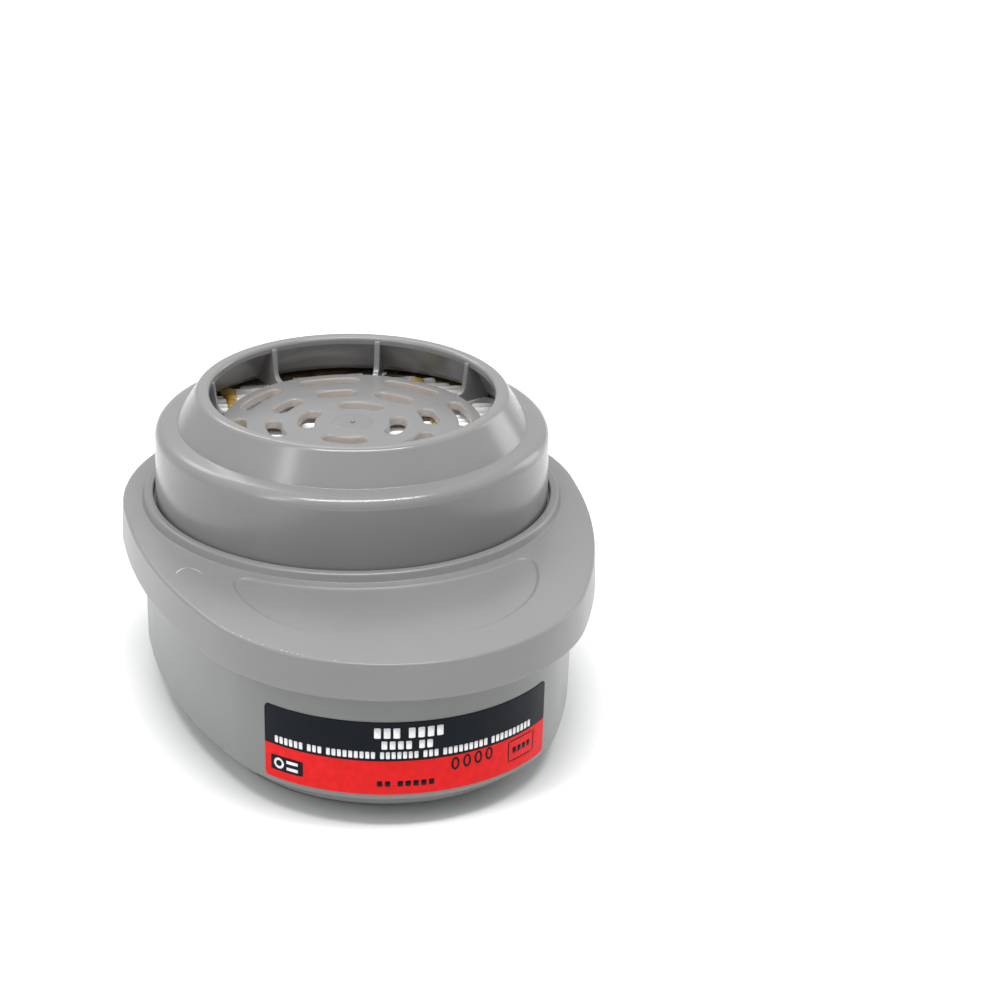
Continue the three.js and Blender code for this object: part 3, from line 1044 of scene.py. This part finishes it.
# The label's half length along the wall, its heights and how far its face stands off the wall
LABEL_HALF = WALL_RADIUS * math.asin(label_high.x / WALL_RADIUS)
LABEL_LOW = label_low.z
LABEL_HIGH = label_high.z
LABEL_SPLIT = LABEL_LOW + 6.6
LABEL_PROUD = 0.12
INK_BASE = LABEL_PROUD - 0.01
INK_TOP = LABEL_PROUD + 0.02


def corner_cut(edge, corner):
    """How much a rounded corner takes off a side, at a distance from the end."""
    return corner - math.sqrt(max(corner ** 2 - max(corner - edge, 0) ** 2, 0))


def patch(left, right, low, high, base, top, corner, steps):
    """A thin rounded rectangle that follows the wall."""
    rings = []
    for i in range(steps + 1):
        along = left + (right - left) * i / steps
        cut = corner_cut(min(along - left, right - along), corner)
        bottom = low + cut
        upper = high - cut
        rings.append([
            on_label(along, bottom, base),
            on_label(along, upper, base),
            on_label(along, upper, top),
            on_label(along, bottom, top),
        ])
    return loft("patch", rings, closed=False)


def make_label():
    """Printed film, black above and red below, with its two colours split by height."""
    columns = []
    corner = 0.9
    base = 0.02
    corner_steps = 6
    middle_steps = 64
    fine = [corner * (1 - math.cos(math.pi / 2 * k / corner_steps)) for k in range(corner_steps + 1)]
    inner = LABEL_HALF - corner
    stations = [-LABEL_HALF + f for f in fine]
    stations += [-inner + 2 * inner * k / middle_steps for k in range(1, middle_steps)]
    stations += [LABEL_HALF - f for f in reversed(fine)]
    levels = [0.0, 0.02, 0.5, 0.98, 1.0]
    for along in stations:
        cut = corner_cut(LABEL_HALF - abs(along), corner)
        bottom = LABEL_LOW + cut
        top = LABEL_HIGH - cut
        front = [bottom + (LABEL_SPLIT - bottom) * share for share in levels]
        front += [LABEL_SPLIT + (top - LABEL_SPLIT) * share for share in levels[1:]]
        column = [on_label(along, z, LABEL_PROUD) for z in front]
        column += [on_label(along, z, base) for z in reversed(front)]
        columns.append(column)
    piece = loft("wrap_label", columns, closed=False)
    place(piece, "label", "label_film", label_black, label_red)
    for face in piece.data.polygons:
        face.material_index = 1 if face.center.z < LABEL_SPLIT * MM else 0


def blocks(words, middle, low, height, pitch):
    """A printed line without letters: upright blocks in groups, one for each word's length."""
    stroke = 0.7
    space = 0.6
    made = []
    at = 0
    for count in words:
        for _ in range(count):
            made.append((at, at + pitch * stroke, low, low + height))
            at += pitch
        at += pitch * space
    shift = middle - (at - pitch * 0.88) / 2
    return [(left + shift, right + shift, bottom, top) for left, right, bottom, top in made]


def frame_lines(left, right, low, high, width):
    """The four sides of an outlined box."""
    lap = width * 0.9
    return [
        (left, right, low, low + width),
        (left, right, high - width, high),
        (left, left + width, low + lap, high - lap),
        (right - width, right, low + lap, high - lap),
    ]


def hoop(middle, up, across, tall, width):
    """A flat upright oval ring on the label."""
    steps = 28
    rings = []
    for i in range(steps):
        angle = TURN * i / steps
        reach, rise = math.cos(angle), math.sin(angle)
        outer = (middle + across * reach, up + tall * rise)
        inner = (middle + (across - width) * reach, up + (tall - width) * rise)
        rings.append([
            on_label(*outer, INK_BASE),
            on_label(*outer, INK_TOP),
            on_label(*inner, INK_TOP),
            on_label(*inner, INK_BASE),
        ])
    return loft("hoop", rings)


def make_print():
    """Generic printing: lines of plain blocks, a ring mark in a dark box, an outlined box and ovals."""
    low = LABEL_LOW
    white = blocks((3, 4), -1.5, low + 11.1, 2.0, 1.66)
    white += blocks((4, 2), -1.8, low + 8.95, 1.6, 1.42)
    white += blocks((6, 3, 9, 7, 3, 9, 10), -1.2, low + 7.1, 1.35, 0.99)
    dark = [(-27.0, -20.4, low + 1.6, low + 4.6)]
    dark += blocks((2, 5), -2.0, low + 1.6, 1.1, 1.38)
    dark += frame_lines(18.0, 25.0, low + 1.8, low + 6.0, 0.26)
    dark += blocks((4,), 21.5, low + 3.3, 1.2, 1.25)
    # The mark lies on its dark box, so its bars stand a little higher than the rest of the ink
    bar_tops = INK_TOP + 0.015
    mark = [hoop(-25.3, low + 3.1, 1.05, 1.05, 0.45)]
    for bar in (low + 2.15, low + 3.45):
        mark.append(patch(-23.7, -21.4, bar, bar + 0.6, LABEL_PROUD, bar_tops, 0.0, 2))
    stamp = [hoop(6.9 + 2.25 * i, low + 4.95 + 0.1 * i, 0.8, 1.25, 0.42) for i in range(4)]
    print_ink("print_white", white, mark, label_white)
    print_ink("print_dark", dark, stamp, label_black)


def print_ink(name, marks, rest, ink):
    """One ink's marks, each a patch with slightly rounded corners, with its other shapes."""
    pieces = [patch(*sides, INK_BASE, INK_TOP, 0.1, 6) for sides in marks]
    join(pieces[0], pieces[1:] + rest)
    pieces[0].name = name
    place(pieces[0], None, "label_film", ink)


# ---------------------------------------------------------------- build

make_cup()
make_connector()
make_cover()
make_scratches()
make_filter_shell()
make_media()
make_separator("separator_left", "separator_bead_left", 1.0)
make_separator("separator_centre", "separator_bead_centre", 2.0)
make_separator("separator_right", "separator_bead_right", 3.0)
make_potting()
make_felt("felt_outlet", "outlet_pad")
make_felt("felt_inlet", "inlet_pad")
make_slotted_plate("grid_outlet", "outlet_grid")
make_slotted_plate("plate_retainer", "retainer_plate")
make_seal_beads()
make_label()
make_print()

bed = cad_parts["carbon_bed"]
bed.data.materials.clear()
bed.data.materials.append(carbon)


# ---------------------------------------------------------------- floor, light and camera

def make_floor():
    bpy.ops.mesh.primitive_plane_add(size=6, location=(0, 0, -0.0001))
    floor = bpy.context.object
    floor.name = "floor"
    floor.data.materials.append(pale_floor())


def softbox(name, place_m, aim_m, width, height, power):
    light = bpy.data.lights.new(name, "AREA")
    light.shape = "RECTANGLE"
    light.size = width
    light.size_y = height
    light.energy = power
    lamp = bpy.data.objects.new(name, light)
    bpy.context.scene.collection.objects.link(lamp)
    lamp.location = place_m
    lamp.rotation_euler = (Vector(aim_m) - Vector(place_m)).to_track_quat("-Z", "Y").to_euler()


def make_world():
    """A pale room, dimmer in front to the right, where the object faces away from the lamps."""
    world = bpy.data.worlds.new("studio")
    bpy.context.scene.world = world
    world.use_nodes = True
    tree = world.node_tree
    direction = tree.nodes.new("ShaderNodeTexCoord").outputs["Generated"]
    facing = tree.nodes.new("ShaderNodeVectorMath")
    facing.operation = "DOT_PRODUCT"
    facing.inputs[1].default_value = (0.25, -0.97, 0)
    tree.links.new(direction, facing.inputs[0])
    fade = tree.nodes.new("ShaderNodeMapRange")
    for i, number in enumerate((0.0, 0.9, 0.7, 0.54), 1):
        fade.inputs[i].default_value = number
    tree.links.new(facing.outputs["Value"], fade.inputs["Value"])
    background = tree.nodes["Background"]
    background.inputs["Color"].default_value = (0.97, 0.98, 1, 1)
    tree.links.new(fade.outputs["Result"], background.inputs["Strength"])


def make_lights():
    """A large softbox overhead, one behind, a strip to the left and a broad one to the right."""
    softbox("overhead", (0.0, -0.24, 1.0), (0, 0, 0), 0.8, 0.2, 11)
    softbox("behind", (-0.15, 0.85, 0.82), (0, 0, 0.03), 0.8, 0.25, 2.8)
    softbox("left_strip", (-0.83, -0.51, 0.74), (0, 0, 0.03), 0.16, 0.7, 2.4)
    softbox("right_fill", (1.05, 0.45, 0.35), (0, 0, 0.03), 0.4, 0.7, 2.4)


def make_camera():
    """Stands to the left in front and looks down on the object, with a slight tilt of its own."""
    azimuth, elevation, tilt = (math.radians(angle) for angle in (-12.56, 23.96, 1.33))
    distance = 598
    aim = Vector((24.95, -2.25, 38.35))
    level = math.cos(elevation)
    back = Vector((math.sin(azimuth) * level, -math.cos(azimuth) * level, math.sin(elevation)))
    camera = bpy.data.cameras.new("camera")
    camera.lens = 116
    camera.sensor_width = 36
    camera.clip_start = 0.01
    holder = bpy.data.objects.new("camera", camera)
    bpy.context.scene.collection.objects.link(holder)
    turned = back.to_track_quat("Z", "Y").to_matrix() @ Matrix.Rotation(tilt, 3, "Z")
    holder.matrix_world = Matrix.Translation((aim + back * distance) * MM) @ turned.to_4x4()
    bpy.context.scene.camera = holder


make_floor()
make_world()
make_lights()
make_camera()
bpy.context.scene.view_settings.view_transform = "Standard"
